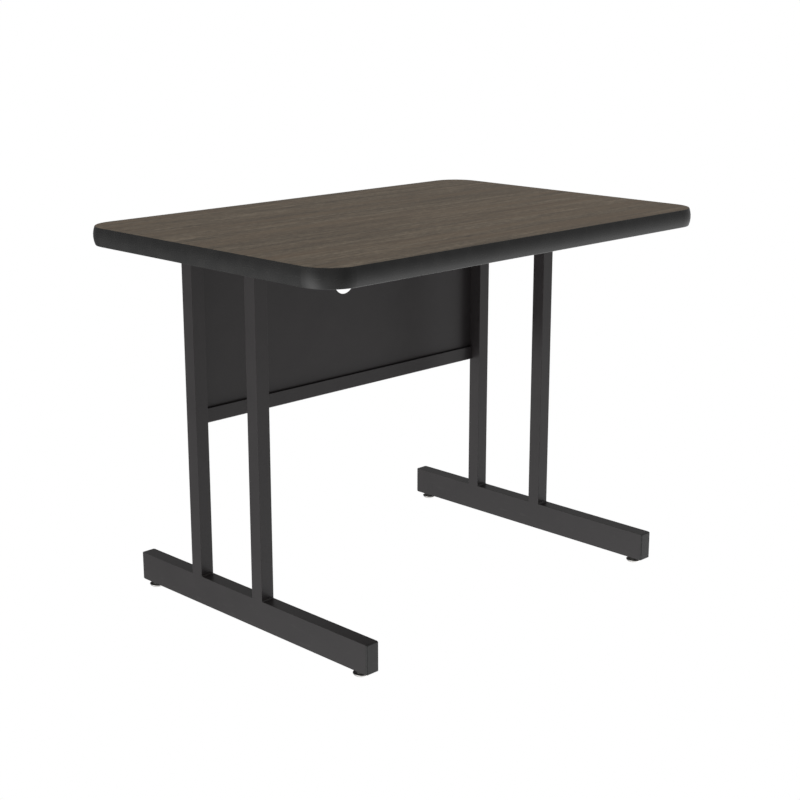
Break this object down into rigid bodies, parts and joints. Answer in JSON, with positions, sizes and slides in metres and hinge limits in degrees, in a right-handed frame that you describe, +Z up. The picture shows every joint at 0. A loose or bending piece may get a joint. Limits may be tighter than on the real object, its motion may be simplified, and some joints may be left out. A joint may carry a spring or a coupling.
{
  "type": "teacher desk",
  "caption": "Rectangular laminate-top desk with a black bumper edge on two cantilever steel end frames, with a steel modesty panel and screw-in leveling glides.",
  "frame": {"origin": "on the floor, below the middle of the top", "axes": "+Z up; +X along the long side of the top, to the right of the person sitting at the desk; +Y from the user's side to the modesty panel side"},
  "size_m": [0.9142, 0.6118, 0.66],
  "materials": {
    "walnut_laminate": "fine straight walnut grain, satin",
    "particle_board": "raw particle board",
    "backer": "plain brown phenolic sheet, matte",
    "black_vinyl": "satin black vinyl with a fine moulded texture",
    "black_paint": "black powder coat, fine orange peel",
    "black_plastic": "moulded black plastic, fine grain",
    "zinc_steel": "bright zinc plate",
    "nickel_plate": "nickel plate, lightly scuffed"
  },
  "bodies": {
    "frame": {"top_core": "particle_board", "top_laminate": "walnut_laminate", "backer_sheet": "backer", "edge_band": "black_vinyl", "modesty_panel": "black_paint", "panel_screws": "zinc_steel", "left_foot_tube": "black_paint", "left_top_channel": "black_paint", "left_top_screws": "zinc_steel", "left_glide_nuts": "zinc_steel", "left_front_upright": "black_paint", "left_front_end_cap": "black_plastic", "left_rear_upright": "black_paint", "left_rear_end_cap": "black_plastic", "right_foot_tube": "black_paint", "right_top_channel": "black_paint", "right_top_screws": "zinc_steel", "right_glide_nuts": "zinc_steel", "right_front_upright": "black_paint", "right_front_end_cap": "black_plastic", "right_rear_upright": "black_paint", "right_rear_end_cap": "black_plastic"},
    "left_front_glide_foot": {"left_front_glide_base": "nickel_plate"},
    "left_front_glide_screw": {"left_front_glide_stem": "zinc_steel"},
    "left_rear_glide_foot": {"left_rear_glide_base": "nickel_plate"},
    "left_rear_glide_screw": {"left_rear_glide_stem": "zinc_steel"},
    "right_front_glide_foot": {"right_front_glide_base": "nickel_plate"},
    "right_front_glide_screw": {"right_front_glide_stem": "zinc_steel"},
    "right_rear_glide_foot": {"right_rear_glide_base": "nickel_plate"},
    "right_rear_glide_screw": {"right_rear_glide_stem": "zinc_steel"}
  },
  "joints": [
    {"name": "left_front_glide_travel", "type": "slide", "parent": "frame", "child": "left_front_glide_foot", "axis": [0, 0, -1], "range_m": [0, 0.01199]},
    {"name": "left_front_glide_turn", "type": "hinge", "parent": "left_front_glide_foot", "child": "left_front_glide_screw", "pos_m": [-0.3531, -0.2598, 0.02], "axis": [0, 0, -1], "range_deg": [0, 3060]},
    {"name": "left_rear_glide_travel", "type": "slide", "parent": "frame", "child": "left_rear_glide_foot", "axis": [0, 0, -1], "range_m": [0, 0.01199]},
    {"name": "left_rear_glide_turn", "type": "hinge", "parent": "left_rear_glide_foot", "child": "left_rear_glide_screw", "pos_m": [-0.3531, 0.2724, 0.02], "axis": [0, 0, -1], "range_deg": [0, 3060]},
    {"name": "right_front_glide_travel", "type": "slide", "parent": "frame", "child": "right_front_glide_foot", "axis": [0, 0, -1], "range_m": [0, 0.01199]},
    {"name": "right_front_glide_turn", "type": "hinge", "parent": "right_front_glide_foot", "child": "right_front_glide_screw", "pos_m": [0.3531, -0.2598, 0.02], "axis": [0, 0, -1], "range_deg": [0, 3060]},
    {"name": "right_rear_glide_travel", "type": "slide", "parent": "frame", "child": "right_rear_glide_foot", "axis": [0, 0, -1], "range_m": [0, 0.01199]},
    {"name": "right_rear_glide_turn", "type": "hinge", "parent": "right_rear_glide_foot", "child": "right_rear_glide_screw", "pos_m": [0.3531, 0.2724, 0.02], "axis": [0, 0, -1], "range_deg": [0, 3060]}
  ],
  "couplings": [
    {"joint": "left_front_glide_turn", "follows": "left_front_glide_travel", "rad_per_m": 4452.7},
    {"joint": "left_rear_glide_turn", "follows": "left_rear_glide_travel", "rad_per_m": 4452.7},
    {"joint": "right_front_glide_turn", "follows": "right_front_glide_travel", "rad_per_m": 4452.7},
    {"joint": "right_rear_glide_turn", "follows": "right_rear_glide_travel", "rad_per_m": 4452.7}
  ]
}
